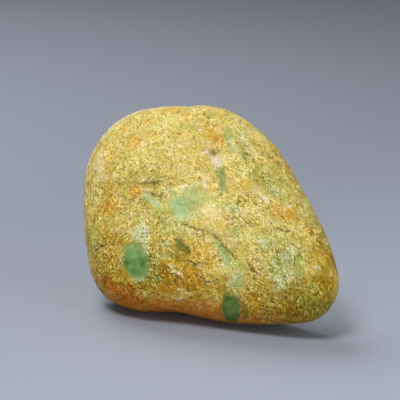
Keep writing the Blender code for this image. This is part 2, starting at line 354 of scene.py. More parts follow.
# Smooth patches, where the grain is rubbed out
SMOOTH_BLOTCHES = (
    (FACE, 0.9, 4.8, 3.6, 2.6, 0.95, -30),
    (FACE, -5.4, -21.6, 4.6, 2.4, 0.8, -16),
    (FACE, 1.6, -23.6, 3.4, 2, 0.6, 10),
    (FACE, -9, -25.4, 4, 1.6, 0.5),
    (FACE, 18.4, -3, 2.6, 1.8, 0.6),
    (FACE, 15.6, 1, 2.2, 1.6, 0.7),
    (FACE, 13, -23.4, 3.4, 2.4, 0.6),
    (FACE, 30, 2.4, 3.6, 1.6, 0.3),
    (FACE, -24.4, 10.8, 1.8, 1.4, 0.7),
    (FACE, 33.4, -18, 6, 1.8, 0.6, 86),
    (FACE, 41, -12, 8, 3, 0.6, -66),
    (FACE, 38, -25, 13, 9, 0.7, 20),
    (FACE, 44, -21, 8, 7, 0.6),
    (FACE, 2.9, 2.2, 4.4, 2.3, 0.9, 80),
    (FACE, -10.8, 36.9, 2.4, 1.6, 0.7),
    (FACE, 17.5, 12.7, 2.3, 1.6, 0.8),
    (FACE, 4.4, 21.8, 3.4, 2.2, 0.6, 70),
    (FACE, 3.6, 30, 2.4, 1.8, 0.6, 60),
)

# Painted light and shade, with the skin's own lighter and darker patches: lighter above 0, darker
# below it. Painted shade lies in grooves, cracks and hollows, on the lower and middle left, the
# left edge and the down-turned right tip; painted light on the upper left, the middle, the foot and
# the rims
PAINTED_LIGHT_AND_TONE_BLOTCHES = (
    (FACE, -20, 28, 17, 13, 0.1, 20),
    (FACE, -12, 36, 4, 2.2, 0.5, 10),
    (FACE, -6.9, 38.7, 3, 1.6, -0.7),
    (FACE, -36.6, 21, 8, 2.4, 0.6, 76),
    (FACE, -18, -18, 27, 12, -0.75, -4),
    (FACE, -24, 10, 12, 10, -0.4),
    (FACE, -13, -1.8, 5, 3.2, -0.8),
    (FACE, 5, -17, 5.4, 3.4, 1.2, -20),
    (FACE, 26, -23, 3.8, 2.6, 0.7),
    (FACE, -12, -26.2, 10, 2.2, 0.7),
    (FACE, 11.4, -19.4, 2.4, 2, 0.6),
    (FACE, 47.4, -22.6, 2.2, 5, 1),
    (FACE, 32.9, -30, 4, 3, -0.7),
    (FACE, 18.4, -19.2, 3, 2.4, -0.7),
    (FACE, 36, -20.6, 3.4, 3, -0.4),
    (FACE, 36.5, -22.8, 2.4, 2, 0.5),
    (FACE, -35.8, 28, 3, 3, -0.7),
    (FACE, -35.8, 13.4, 3, 3, 0.4),
    (FACE, -37, -4, 2.6, 3.4, 0.6),
    (FACE, -17.4, -19.4, 2.6, 2.2, -0.6),
    (FACE, 25.7, 13.4, 3, 2.4, -0.6),
    (FACE, -28.6, 13.4, 3, 2, -0.4),
    (FACE, -17.7, 17, 3.6, 2, -0.7),
    (FACE, 0.4, -4.7, 3.4, 2.4, -0.8),
    (FACE, -30.5, -5.6, 4.6, 3, -0.75),
    (FACE, -14.4, 2.4, 2.6, 2.2, -0.6),
    (FACE, -10.5, 13.4, 3, 1.6, -0.7),
    (FACE, 11.2, -1.1, 3.4, 2.4, -0.8),
    (FACE, 19, 31, 3, 2, 0.9, -40),
    (FACE, 22.1, 27.8, 2.4, 2, 0.8, -50),
    (FACE, 44, -8.3, 2, 3, 0.7),
    (FACE, 36.5, -2.8, 3, 4, -0.65),
    (FACE, 37, 6.1, 2.4, 3, 0.7),
    (FACE, -21.4, 8.2, 3.4, 3, -0.5),
    (FACE, -6, -21, 7, 4, -0.4, -20),
    (FACE, -8, 6, 12, 9, 0.25),
    (FACE, 32, -31, 18, 9, -1.15),
    (FACE, 44, -18, 8, 14, -0.7),
    (FACE, 40.1, -8.3, 2.4, 3, -0.55),
    (FACE, 18.4, -1.1, 2.6, 2, -0.6),
    (FACE, -25, -1.1, 2.4, 2, -0.5),
    (FACE, -6.9, -19.2, 2.4, 2, 0.7),
    (FACE, -6.9, -22.8, 2.4, 1.6, -0.5),
    (FACE, 20, 26, 8, 3, -0.4, -56),
    (FACE, 28, -16, 9, 10, -0.75),
    (FACE, 33, 12, 16, 3.4, -0.35, -58),
    (FACE, 31.2, 2.2, 4, 2.2, -0.6, -4),
    (FACE, 6.6, 28, 3, 2, -0.4, -50),
    (FACE, 15.2, 23.4, 3.4, 1.8, -1.2, -62),
    (FACE, 36, -24, 5, 4, -0.4),
    (FACE, 41, -27.6, 4, 3, 0.2),
    (FACE, 41, -20.5, 4, 2.4, -0.5, -30),
    (FACE, 20, 16, 16, 2, -0.4, -62),
    (FACE, -14, -34, 30, 5, 0.35, -5),
    (FACE, -4.6, -30.6, 9, 2.8, 1.3),
    (FACE, -6.9, -1.1, 2.2, 1.8, -0.8),
    (FACE, -33, -26, 3, 2.4, 0.3),
    (FACE, -25, -23, 2.8, 2, -0.6),
    (FACE, -37, 0, 5, 22, -0.25),
    (FACE, 8.3, 21.8, 3.4, 1.4, 1.1, -80),
    (FACE, -3, 12.5, 5, 3, 0.3, 20),
    (FACE, 1.4, 4, 4.8, 3.4, 0.4),
    (FACE, -21.4, -5, 4.6, 2.4, -0.2, 76),
    (FACE, -19.8, -9.6, 2.4, 1.2, 0.8, 84),
    (FACE, -35, -22, 2.6, 3, -0.6),
    (FACE, -10, -22.2, 2.4, 1.3, 0.6),
    (FACE, -17.6, 13.4, 6, 1.2, -0.8, 4),
    (FACE, -16, 9.5, 2.4, 1, -0.8, -24),
    (FACE, -8, -9, 3, 2.6, -0.4),
    (FACE, 3.4, 24.3, 2.8, 1.5, -0.8, -14),
    (FACE, -18.5, -12.9, 2.4, 1, -1.5, -76),
    (FACE, -14, -17, 3, 2, -0.5, 30),
    (FACE, -10.2, -16.4, 3.4, 0.9, 1.2, -42),
    (FACE, -38, -12, 3, 3, -0.5),
    (FACE, 7.4, -8.4, 5.4, 0.9, -1.1, -46),
    (FACE, -17.7, -11.9, 2, 1.6, -0.7),
    (FACE, -10.5, -19.2, 2, 1.4, -0.6),
    (FACE, 0, -12, 3, 2, 0.5),
    (FACE, 17.2, -15.9, 3.4, 0.6, -1, -52),
    (FACE, 28.6, -3.4, 2.8, 0.6, -0.9, -6),
    (FACE, 32.4, -13.4, 2.4, 0.6, -0.9, 86),
    (FACE, 30.2, -7.8, 2, 0.6, -0.8, 24),
)

# Cracks and ledges: side, line (X, Z), half-width, depth, and how far the skin steps down to the
# line's right
CRACKS = (
    (FACE, ((-22.8, 13.4), (-20.6, 13.9), (-17.7, 13.6), (-14, 14.4)), 0.45, 0.16, 0.4),
    (FACE, ((-7.4, -0.4), (-5.2, -1.7), (-2.8, -2.5), (0, -3)), 0.55, 0.22, 0.5),
    (FACE, ((-5.2, -3.4), (-3.6, -4.5), (-1.6, -4.3)), 0.3, 0.12, 0.25),
    (FACE, ((15.4, -13.4), (16.6, -15.9), (19.1, -18)), 0.5, 0.3, 0),
    (FACE, ((3.5, -4.3), (6, -7.4), (8.3, -10.3), (10.8, -11.8)), 0.5, 0.25, -0.4),
    (FACE, ((26, -2.4), (28.6, -3.6), (31.1, -2.9)), 0.4, 0.3, 0),
    (FACE, ((28.7, -9.2), (30, -7.8), (31.8, -7.6)), 0.35, 0.25, 0),
    (FACE, ((32.2, -11.8), (32.3, -13.7), (31.8, -15.5)), 0.35, 0.25, 0),
    (FACE, ((-38.3, -10.7), (-36.3, -8.9), (-34, -8.3), (-31.1, -8.5)), 0.4, 0.28, 0),
    (FACE, ((12.3, -27.1), (15.9, -30.7)), 0.35, 0.2, 0),
    (FACE, ((-20.2, 11), (-17, 9.6), (-14.4, 9)), 0.45, 0.1, 0.3),
    (FACE, ((2, 25), (3.6, 24.4), (5.8, 25.2)), 0.25, 0.12, 0.35),
    (FACE, ((4.6, 19), (5.3, 15.6), (6.4, 11.8)), 0.3, 0.12, 0),
    (FACE, ((-13.6, -14.2), (-11.2, -17.6), (-7.6, -20.8)), 0.28, 0.12, 0.35),
    (FACE, ((-5.4, -14), (-2.6, -15.2), (0.4, -14.6)), 0.4, 0.12, 0.3),
    (FACE, ((-1, -19.6), (2.4, -21.4), (5.2, -20.6)), 0.4, 0.12, 0.3),
    (FACE, ((14, 1.4), (15.6, -0.8), (18.2, -2)), 0.35, 0.12, 0.2),
    (BACK, ((-22, 2), (-14, -1), (-6, -5), (2, -6.5)), 0.45, 0.4, 0.3),
    (BACK, ((12, 20), (18, 12), (26, 2)), 0.45, 0.35, 0),
    (BACK, ((-2, -18), (6, -20), (13, -26)), 0.4, 0.3, 0.25),
)

# How far the skin below a ledge stays lower, and how far off a crack is told, in its half-widths
LEDGE_REACH = 2.5
CRACK_REACH = 4.0

# Pits: side, X, Z, radius, depth
PITS = (
    (FACE, 23.9, -0.7, 0.7, 0.5),
    (FACE, 26, -2.5, 0.6, 0.45),
    (FACE, 32.9, -10.3, 0.6, 0.4),
    (FACE, 3.5, 24.6, 1.2, 0.35),
    (FACE, -38.7, 17.7, 0.6, 0.3),
    (FACE, -31.5, -3.3, 0.6, 0.3),
    (FACE, -23.9, -5.4, 0.5, 0.3),
    (FACE, -14.8, -5.1, 0.6, 0.4),
    (FACE, -5.8, -9, 0.5, 0.3),
    (FACE, 35.8, -10.1, 0.6, 0.4),
    (FACE, -21.3, -4.7, 0.5, 0.3),
    (FACE, 33.3, -22.1, 0.6, 0.3),
    (FACE, 1.1, 34, 0.6, 0.3),
    (BACK, -8, 20, 0.8, 0.5),
    (BACK, 20, 10, 0.9, 0.5),
    (BACK, 4, -12, 0.8, 0.4),
    (BACK, 24, -16, 0.7, 0.4),
)

# Where the skin is roughest, laid out as the blotches above
ROUGH_BLOTCHES = (
    (FACE, -9.5, -15, 12, 10, 1),
    (FACE, 26, -12, 10, 8, 0.6),
    (FACE, 4, 22, 5, 8, 0.6),
    (BACK, 6, -10, 14, 9, 0.8, 20),
)
# How steeply every blotch fades at its edge
BLOTCH_EDGE = 1.5

# The noises that vary the skin: how strong or high, how large, and which one.
# Relief
BROAD_LUMPS = (0.28, 5.5, 11)
SMALL_LUMPS = (0.20, 2.4, 12)
CRUMBS = (0.08, 1.15, 13)
BROKEN_STEPS = (0.8, 3.2, 14)
# Shade
BROAD_SHADE = (0.25, 16.0, 21)
SMALL_SHADE = (0.3, 7.0, 22)
# How far apart the places are from which each noise is taken
NOISE_SHIFT = (31.7, -17.3, 53.9)

# The middle height of the broken steps, which is taken off them
BROKEN_MIDDLE = 0.16
# How strongly the lumps show in sound skin, to which its roughness adds
SOUND_LUMPS = 0.8
# The share of the relief that is gone from windows and smooth patches
WORN_OFF = 0.75
# How far into a window its glassy face comes in, how deep it lies, and how proud quartz stands
GLASSY_FROM_TO = (-0.6, 0.6)
WINDOW_DEPTH = 0.12
QUARTZ_HEIGHT = 0.12
# The heights above the foot between which the relief comes in, so that the foot stays flat
RELIEF_FROM_TO = (0.3, 2.5)
# How far to the stone's right its skin becomes streaky
STREAKY_FROM_TO = (12, 30)
# Farther than any place on the stone
FAR_OFF = 1e9

# The fine mesh: how near points are merged, up to what angle, in degrees, triangles are joined to
# squares, and how often they are divided
MERGE_WITHIN = 0.02
JOIN_UP_TO = 40.0
ROUNDING_LEVELS = 2


def share_between(value, start, end):
    """How far values have come from a start to an end, from 0 to 1, eased at both."""
    share = np.clip((value - start) / (end - start), 0.0, 1.0)
    return share * share * (3 - 2 * share)


def standing_pose():
    """The turn from the face frame to the pose in which the stone stands."""
    leaned = Matrix.Rotation(math.radians(-LEAN_BACK), 3, "X")
    rolled = Matrix.Rotation(math.radians(-FACE_ROLL), 3, "Y")
    return leaned @ rolled


def noise_at(places, strength, size, seed):
    """Smooth noise, up to about a strength above and below 0, with lumps of a size."""
    shift = Vector([seed * along for along in NOISE_SHIFT])
    return strength * np.array([noise.noise(Vector(place) / size + shift) for place in places])


def strayed(face, first_seed):
    """How far marks stray, at each place of the face frame."""
    seeds = range(first_seed, first_seed + len(STRAYINGS))
    return sum(noise_at(face, *straying, seed) for straying, seed in zip(STRAYINGS, seeds))


class SkinPlaces:
    """The places of the skin's points and what marks need to know about them."""

    def __init__(self, mesh):
        self.count = len(mesh.vertices)
        points = np.empty(self.count * 3)
        mesh.vertices.foreach_get("co", points)
        self.places = points.reshape(-1, 3) / MM
        face = (self.places - FACE_MIDDLE) @ np.array(standing_pose())
        depth = face[:, 1] - (RIM_LEAN * face[:, 2] - RIM_TURN * face[:, 0])
        front = share_between(depth, RIM_FADE, -RIM_FADE)
        self.share = {FACE: front, BACK: 1 - front}
        # A painted highlight lies pale along the upper left rim
        upper_left = share_between(face[:, 2] - RIM_SLANT * face[:, 0], *RIM_HIGHLIGHT_FROM_TO)
        self.painted_rim_highlight = RIM_HIGHLIGHT * upper_left * np.exp(-((depth / RIM_HIGHLIGHT_WIDTH) ** 2))
        self.x = face[:, 0] + strayed(face, 1)
        self.z = face[:, 2] + strayed(face, 1 + len(STRAYINGS))

    def blotches(self, table):
        """How strongly the blotches of a table show; they build up, but not past 1."""
        clear = np.ones(self.count)
        for blotch in table:
            clear *= 1 - self.blotch(*blotch)
        return 1 - clear

    def summed(self, table):
        """The blotches of a table added up, those above 0 against those below."""
        return sum(self.blotch(*blotch) for blotch in table)

    def blotch(self, side, x, z, half_length, half_width, strength, turn=0):
        """One soft-edged oval blotch, strongest in its middle."""
        cosine, sine = math.cos(math.radians(turn)), math.sin(math.radians(turn))
        along = (self.x - x) * cosine + (self.z - z) * sine
        across = (self.z - z) * cosine - (self.x - x) * sine
        spread = (along / half_length) ** 2 + (across / half_width) ** 2
        return strength * self.share[side] * np.exp(-(spread**BLOTCH_EDGE))

    def inside(self, side, outline):
        """How far inside an outline each place is; below 0 outside it."""
        nearest = np.full(self.count, FAR_OFF)
        inside = np.zeros(self.count, bool)
        for (x0, z0), (x1, z1) in zip(outline, outline[1:] + outline[:1]):
            nearest = np.minimum(nearest, self.line_distance((x0, z0), (x1, z1)))
            if z0 != z1:
                crossing = x0 + (self.z - z0) * (x1 - x0) / (z1 - z0)
                inside ^= ((self.z > z0) != (self.z > z1)) & (self.x < crossing)
        signed = np.clip(np.where(inside, nearest, -nearest), -OUTLINE_REACH, OUTLINE_REACH)
        # On the stone's other side every place is well outside
        return signed - 2 * OUTLINE_REACH * (1 - self.share[side])

    def line_distance(self, start, end):
        """How far each place is from a straight line between two points."""
        dx, dz = end[0] - start[0], end[1] - start[1]
        along = ((self.x - start[0]) * dx + (self.z - start[1]) * dz) / (dx * dx + dz * dz)
        along = np.clip(along, 0, 1)
        return np.hypot(self.x - start[0] - along * dx, self.z - start[1] - along * dz)

    def crack_distance(self, line):
        """How far each place is from a broken line, and on which side (1 right, -1 left)."""
        nearest = np.full(self.count, FAR_OFF)
        right = np.zeros(self.count)
        for (x0, z0), (x1, z1) in zip(line, line[1:]):
            distance = self.line_distance((x0, z0), (x1, z1))
            turn = (self.x - x0) * (z1 - z0) - (self.z - z0) * (x1 - x0)
            right = np.where(distance < nearest, np.sign(turn), right)
            nearest = np.minimum(nearest, distance)
        return nearest, right


def windows_at(skin):
    """How far inside the nearest window each place is, and how pale, olive and soft that is."""
    inside = np.full(skin.count, -3 * OUTLINE_REACH)
    weight = np.zeros(skin.count)
    looks = np.zeros((3, skin.count))
    for side, *window_looks, outline in WINDOWS.values():
        distance = skin.inside(side, outline)
        near = np.exp(NEARNESS * distance)
        inside = np.maximum(inside, distance)
        weight += near
        looks += np.outer(window_looks, near)
    return inside, *(looks / weight)


def cracks_at(skin):
    """How deep cracks and pits are cut at each place, and how far off they are, in half-widths."""
    cut = np.zeros(skin.count)
    away = np.full(skin.count, CRACK_REACH)
    for side, line, half_width, depth, step in CRACKS:
        distance, right = skin.crack_distance(line)
        lower = step * np.exp(-((distance / LEDGE_REACH) ** 2)) * (right > 0)
        cut += skin.share[side] * (depth * np.exp(-((distance / half_width) ** 2)) + lower)
        away = np.minimum(away, distance / half_width + CRACK_REACH * (1 - skin.share[side]))
    for side, x, z, radius, depth in PITS:
        distance = np.hypot(skin.x - x, skin.z - z) / radius
        cut += skin.share[side] * depth * np.exp(-(distance**2))
        away = np.minimum(away, distance + CRACK_REACH * (1 - skin.share[side]))
    return cut, away


def smooth_skin_mesh():
    """The stone's own form as a fine, smooth mesh of squares."""
    stone = bmesh.new()
    stone.from_mesh(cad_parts["boulder"].data)
    bmesh.ops.remove_doubles(stone, verts=stone.verts, dist=MERGE_WITHIN * MM)
    bmesh.ops.join_triangles(
        stone,
        faces=stone.faces,
        angle_face_threshold=math.radians(JOIN_UP_TO),
        angle_shape_threshold=math.radians(JOIN_UP_TO),
    )
    coarse = bpy.data.meshes.new("coarse_stone")
    stone.to_mesh(coarse)
    stone.free()
    coarse_object = bpy.data.objects.new("coarse_stone", coarse)
    bpy.context.scene.collection.objects.link(coarse_object)
    rounding = coarse_object.modifiers.new("rounding", "SUBSURF")
    rounding.levels = ROUNDING_LEVELS
    rounding.render_levels = ROUNDING_LEVELS
    evaluated = coarse_object.evaluated_get(bpy.context.evaluated_depsgraph_get())
    fine = bpy.data.meshes.new_from_object(evaluated)
    bpy.data.objects.remove(coarse_object)
    return fine


def relief_at(skin, glassy, smooth, rough, quartz_and_rim_highlight, cut):
    """How far the skin rises above the solid's face, or sinks below it."""
    lumps = noise_at(skin.places, *BROAD_LUMPS) + noise_at(skin.places, *SMALL_LUMPS)
    crumbs = noise_at(skin.places, *CRUMBS)
    broken = np.abs(noise_at(skin.places, *BROKEN_STEPS)) - BROKEN_MIDDLE
    calm = 1 - WORN_OFF * np.maximum(glassy, smooth)
    rise = calm * (lumps * (SOUND_LUMPS + rough) + crumbs + rough * broken)
    rise += QUARTZ_HEIGHT * quartz_and_rim_highlight - WINDOW_DEPTH * glassy - cut
    return rise * share_between(skin.places[:, 2], *RELIEF_FROM_TO)


def carve_skin(mesh):
    """Lays the marks out on the skin and works the worn relief into it."""
    skin = SkinPlaces(mesh)
    inside, pale, olive, softness = windows_at(skin)
    cut, from_crack = cracks_at(skin)
    rough = skin.blotches(ROUGH_BLOTCHES)
    smooth = skin.blotches(SMOOTH_BLOTCHES)
    # Quartz, with the painted highlight of the rim laid in as quartz
    quartz_and_rim_highlight = np.maximum(skin.blotches(QUARTZ_AND_HIGHLIGHT_BLOTCHES), skin.painted_rim_highlight)
    glassy = share_between(inside, *GLASSY_FROM_TO)
    rise = relief_at(skin, glassy, smooth, rough, quartz_and_rim_highlight, cut)

    normals = np.empty(skin.count * 3)
    mesh.vertex_normals.foreach_get("vector", normals)
    moved = skin.places + normals.reshape(-1, 3) * rise[:, None]
    moved[:, 2] = np.maximum(moved[:, 2], 0.0)
    mesh.vertices.foreach_set("co", (moved * MM).ravel())
    mesh.update()

    # The skin's own drifts of tone, to which the painted light and shade are added below
    painted_light_and_tone = noise_at(skin.places, *BROAD_SHADE) + noise_at(skin.places, *SMALL_SHADE)
    marks = {
        "inside": inside,
        "pale": pale,
        "olive": olive,
        "softness": softness,
        "iron": skin.blotches(IRON_BLOTCHES),
        "ochre": skin.blotches(OCHRE_BLOTCHES),
        "rust": skin.blotches(RUST_BLOTCHES),
        "rough": rough,
        "quartz_and_rim_highlight": quartz_and_rim_highlight,
        "veil": skin.blotches(VEIL_BLOTCHES),
        "smooth": smooth,
        "from_crack": from_crack,
        "milk": skin.blotches(MILK_BLOTCHES),
        "streaky": share_between(skin.places[:, 0], *STREAKY_FROM_TO),
        "painted_light_and_tone": painted_light_and_tone + skin.summed(PAINTED_LIGHT_AND_TONE_BLOTCHES),
        "cloud": skin.summed(CLOUD_BLOTCHES),
    }
    for name, values in marks.items():
        attribute = mesh.attributes.new(name, "FLOAT", "POINT")
        attribute.data.foreach_set("value", values.astype(np.float32))


def paint(red, green, blue):
    """A colour as it looks on a screen, from 0 to 255, in the linear values that a shader takes."""
    linear = []
    for value in (red, green, blue):
        share = value / 255
        linear.append(share / 12.92 if share <= 0.04045 else ((share + 0.055) / 1.055) ** 2.4)
    return (*linear, 1.0)


# The skin's own colours
SKIN_GOLD = paint(206, 180, 90)
SKIN_LEMON = paint(198, 184, 92)
SKIN_AMBER = paint(212, 172, 78)
SKIN_BLUSH = paint(212, 190, 124)
OCHRE_STAIN = paint(196, 157, 26)
IRON_STAIN = paint(222, 166, 52)
RUST_STAIN = paint(208, 120, 6)
JADE_VEIL = paint(172, 186, 104)
JADE_MILK = paint(198, 204, 158)
# Pale quartz, also the colour of the painted highlights
QUARTZ_AND_HIGHLIGHT = paint(225, 213, 188)
TONE_CREAM = paint(250, 234, 154)
GAP_OLIVE = paint(104, 86, 4)
CRACK_BROWN = paint(84, 66, 14)
# What a dark tone leaves of a colour
TONE_SHADE = (0.40, 0.36, 0.03, 1.0)
# The jade of the windows and its olive cast, by how pale they are
JADE_COLOURS = (
    (0.0, paint(34, 100, 44)),
    (0.4, paint(92, 132, 73)),
    (0.7, paint(129, 160, 99)),
    (1.0, paint(175, 197, 141)),
)
OLIVE_COLOURS = ((0.2, paint(84, 80, 8)), (0.9, paint(158, 132, 28)))

# The sizes of the grains and how far their edges bend
GRAIN_SIZE = 0.9
FINE_GRAIN_SIZE = 0.38
GRAIN_BEND = 0.9
# The direction in which the grain runs on the face, in degrees, and how far places are drawn
# together along it, which lengthens streaks and flakes
GRAIN_RUN = -64.0
STREAK_SQUEEZE = -0.68
FLAKE_SQUEEZE = -0.4
# Broken skin: how far its edges bend, and how far apart its steps, fissures and specks are
BROKEN_BEND = 2.2
STEP_SIZE = 2.6
FISSURE_SIZE = 3.4
SPECK_SIZE = 1.7

# The finish's noises: the size of their lumps, their detail and its roughness
BEND_NOISE = (1.1, 2)
CRYSTAL_NOISE = (1.8, 3, 0.6)
STREAK_NOISE = (1.3, 3, 0.6)
PATCH_NOISE = (5, 2)
DRIFT_NOISE = (5, 1)
STAIN_NOISE = (4, 1)
QUARTZ_NOISE = (1.3, 2, 0.6)
FISSURED_NOISE = (3, 1)
CRACK_NOISE = (0.8, 2)
CLOUD_NOISE = (2.4, 3, 0.6)
EDGE_NOISE = (1.6, 2)
GRIT_NOISE = (0.6, 2)

# How strongly crystals, streaks, fine grains, whole grains and the marks of painted light and shade
# tell in the tone
CRYSTAL_TONE = 1.35
STREAK_TONE = 1.8
FINE_GRAIN_TONE = 1.3
GRAIN_TONE = 0.4
PAINTED_LIGHT_TONE = 0.6
# How much calmer the grain is on smooth patches, and how much livelier in the ochre
SMOOTH_CALM = 0.7
OCHRE_LIVELY = 0.55
# How much of the cream and of the white crystals is kept off the rust
RUST_CALM = 0.9
# How strongly patches and drifts break up a stain, and how strong stains and veils are at most
PATCH_BREAKS = 2.2
DRIFT_BREAKS = 1.8
STAIN_MOST = 0.95
VEIL_MOST = 0.7
# How strongly noise breaks up quartz and cracks, and noise and fine grains the windows' edges
QUARTZ_BREAKS = 1.3
CRACK_BREAKS = 1.6
EDGE_BREAKS = 1.6
EDGE_GRAIN = 0.5
# How much clouds and fine grains change how pale the jade is
JADE_CLOUD = 0.8
JADE_GRAIN = 0.14
# The tones between which a grain turns cream, and those between which it is shaded, twice over
CREAM_TONES = (0.0, 1.5)
SHADED_TONES = ((0.0, -1.0), (-1.0, -2.0))

# How a share comes in: the values that start and end it, and the shares there if not 0 and 1
LEMON_DRIFT = (0.40, 0.60)
AMBER_DRIFT = (0.50, 0.68, 0.0, 0.6)
BLUSH_DRIFT = (0.44, 0.66, 0.0, 0.9)
COARSE_DRIFT = (0.36, 0.64, 0.4, 1.4)
STAIN_EDGE = (0.0, 0.9)
QUARTZ_EDGE = (0.15, 0.85)
NEAR_QUARTZ = (0.0, 0.3, 0.0, 0.85)
GAP_EDGE = (0.0, 0.14, 0.2, 0.0)
FISSURE_EDGE = (0.01, 0.07, 1.0, 0.0)
FISSURED = (0.52, 0.66)
SPECK_EDGE = (0.12, 0.22, 1.0, 0.0)
SPECKED = (0.55, 0.60)
WHITE_CRYSTALS_AND_GLINTS = (0.92, 0.95, 0.0, 0.5)
CRACK_EDGE = (0.3, 0.9, 1.0, 0.0)
LIT_EDGE_START = (0.9, 1.5)
LIT_EDGE_END = (1.5, 2.4, 1.0, 0.0)
WINDOW_EDGE = (-1.0, 1.0)

# How strongly the flaws, and the painted highlight beside cracks, colour the skin
FISSURE_COLOUR = 0.3
SPECK_COLOUR = 0.45
CRACK_COLOUR = 0.5
LIT_EDGE_COLOUR = 0.15

# The fine relief of the grains, as heights, and how much of it is gone from the windows
FACET_HEIGHT = 0.45
GRIT_HEIGHT = 0.20
GAP_HEIGHT = -0.15
SPECK_HEIGHT = -0.10
FISSURE_HEIGHT = -0.16
CRACK_HEIGHT = -0.25
STEP_HEIGHT = 0.28
ROUGH_STEP_HEIGHT = 0.6
JADE_POLISH = 0.85

# The roughness of the smoothest grains, how much rougher others are at most, and the jade's
SKIN_ROUGHNESS = 0.38
ROUGHNESS_SPREAD = 0.34
JADE_ROUGHNESS = 0.40
# The gloss is low, because gloss whitens the dark grains
GLOSS = 0.12

# Where a Mix node keeps its two colours and their mixture
COLOUR_A = 6
COLOUR_B = 7
COLOUR_RESULT = 2


class Finish:
    """A material being wired up: each call adds nodes and gives back the socket of their result."""

    def __init__(self, name):
        self.material = bpy.data.materials.new(name)
        self.material.use_nodes = True
        self.tree = self.material.node_tree
        self.shader = self.tree.nodes["Principled BSDF"]

    def add(self, kind, inputs, **settings):
        """Adds a node with its settings and fills its inputs from sockets or plain values."""
        node = self.tree.nodes.new(kind)
        for name, value in settings.items():
            setattr(node, name, value)
        for name, value in inputs.items():
            self.feed(node.inputs[name], value)
        return node

    def feed(self, socket, value):
        """Links a socket to another, or sets its plain value."""
        if isinstance(value, bpy.types.NodeSocket):
            self.tree.links.new(value, socket)
        else:
            socket.default_value = value

    def place(self):
        """Places on the piece, in metres."""
        return self.add("ShaderNodeTexCoord", {}).outputs["Object"]

    def mark(self, name):
        """A mark that was laid out on the skin."""
        return self.add("ShaderNodeAttribute", {}, attribute_name=name).outputs["Fac"]

    def calc(self, operation, *values):
        """Arithmetic on two or three numbers."""
        return self.add("ShaderNodeMath", dict(enumerate(values)), operation=operation).outputs[0]

    def times(self, first, *others):
        """Numbers multiplied together."""
        for value in others:
            first = self.calc("MULTIPLY", first, value)
        return first

    def summed(self, *parts, start=0.0):
        """Numbers added up, each times its own strength."""
        total = start
        for value, strength in parts:
            total = self.calc("MULTIPLY_ADD", value, strength, total)
        return total

    def centred(self, value):
        """A value around 0.5, moved to be around 0."""
        return self.calc("SUBTRACT", value, 0.5)

    def move(self, operation, *vectors):
        """Arithmetic on vectors."""
        node = self.add("ShaderNodeVectorMath", dict(enumerate(vectors)), operation=operation)
        return node.outputs["Value" if operation == "DOT_PRODUCT" else "Vector"]

    def scaled(self, vector, factor):
        """A vector times a number."""
        node = self.add("ShaderNodeVectorMath", {0: vector, "Scale": factor}, operation="SCALE")
        return node.outputs["Vector"]

    def noise(self, place, size, detail=2.0, roughness=0.5, output="Fac"):
        """Noise around 0.5 with lumps of a size."""
        inputs = {"Vector": place, "Scale": 1 / size, "Detail": detail, "Roughness": roughness}
        return self.add("ShaderNodeTexNoise", inputs).outputs[output]

    def cells(self, place, size, feature="F1"):
        """Irregular cells of a size, with their distances, colours and middles."""
        inputs = {"Vector": place, "Scale": 1 / size}
        return self.add("ShaderNodeTexVoronoi", inputs, feature=feature).outputs

    def parts(self, colour):
        """The three numbers of a colour."""
        return self.add("ShaderNodeSeparateColor", {"Color": colour}).outputs

    def ramp_between(self, value, start, end, low=0.0, high=1.0):
        """A value's way from a start to an end, as an eased share from low to high."""
        inputs = {"Value": value, "From Min": start, "From Max": end, "To Min": low, "To Max": high}
        node = self.add("ShaderNodeMapRange", inputs, interpolation_type="SMOOTHSTEP")
        return node.outputs["Result"]

    def slope_between(self, value, start, end):
        """A value's way from a start to an end, as an even share."""
        inputs = {"Value": value, "From Min": start, "From Max": end}
        return self.add("ShaderNodeMapRange", inputs).outputs["Result"]

    def ramp(self, value, *stops):
        """A colour ramp with stops of place and colour."""
        node = self.add("ShaderNodeValToRGB", {"Fac": value})
        elements = node.color_ramp.elements
        while len(elements) < len(stops):
            elements.new(0.5)
        for element, (position, colour) in zip(elements, stops):
            element.position = position
            element.color = colour
        return node.outputs["Color"]

    def mix(self, share, first, second, blend="MIX"):
        """Mixes a second colour into a first by a share."""
        inputs = {"Factor": share, COLOUR_A: first, COLOUR_B: second}
        node = self.add("ShaderNodeMix", inputs, data_type="RGBA", blend_type=blend)
        return node.outputs[COLOUR_RESULT]


class Grain:
    """The grain of the skin, which its colours, its gloss and its fine relief share."""

    def __init__(self, stone):
        self.place = stone.scaled(stone.place(), 1 / MM)
        self.streak_place = self.along_run(stone, STREAK_SQUEEZE)
        bend = stone.noise(self.place, *BEND_NOISE, output="Color")
        bend = stone.move("SUBTRACT", bend, (0.5, 0.5, 0.5))
        self.broken_place = stone.move("ADD", self.place, stone.scaled(bend, BROKEN_BEND))
        flake_place = self.along_run(stone, FLAKE_SQUEEZE)
        self.grain_place = stone.move("ADD", flake_place, stone.scaled(bend, GRAIN_BEND))
        self.cells = stone.cells(self.grain_place, GRAIN_SIZE)
        self.gaps = stone.cells(self.grain_place, GRAIN_SIZE, "DISTANCE_TO_EDGE")["Distance"]
        self.random = stone.parts(self.cells["Color"])
        fine_cells = stone.cells(self.grain_place, FINE_GRAIN_SIZE)
        self.fine_random = stone.parts(fine_cells["Color"])

    def along_run(self, stone, squeeze):
        """Places drawn together along the run of the grain, which goes steeply down the face."""
        angle = math.radians(GRAIN_RUN)
        run = tuple(standing_pose() @ Vector((math.cos(angle), 0.0, math.sin(angle))))
        along = stone.move("DOT_PRODUCT", self.place, run)
        return stone.move("ADD", self.place, stone.scaled(run, stone.times(along, squeeze)))


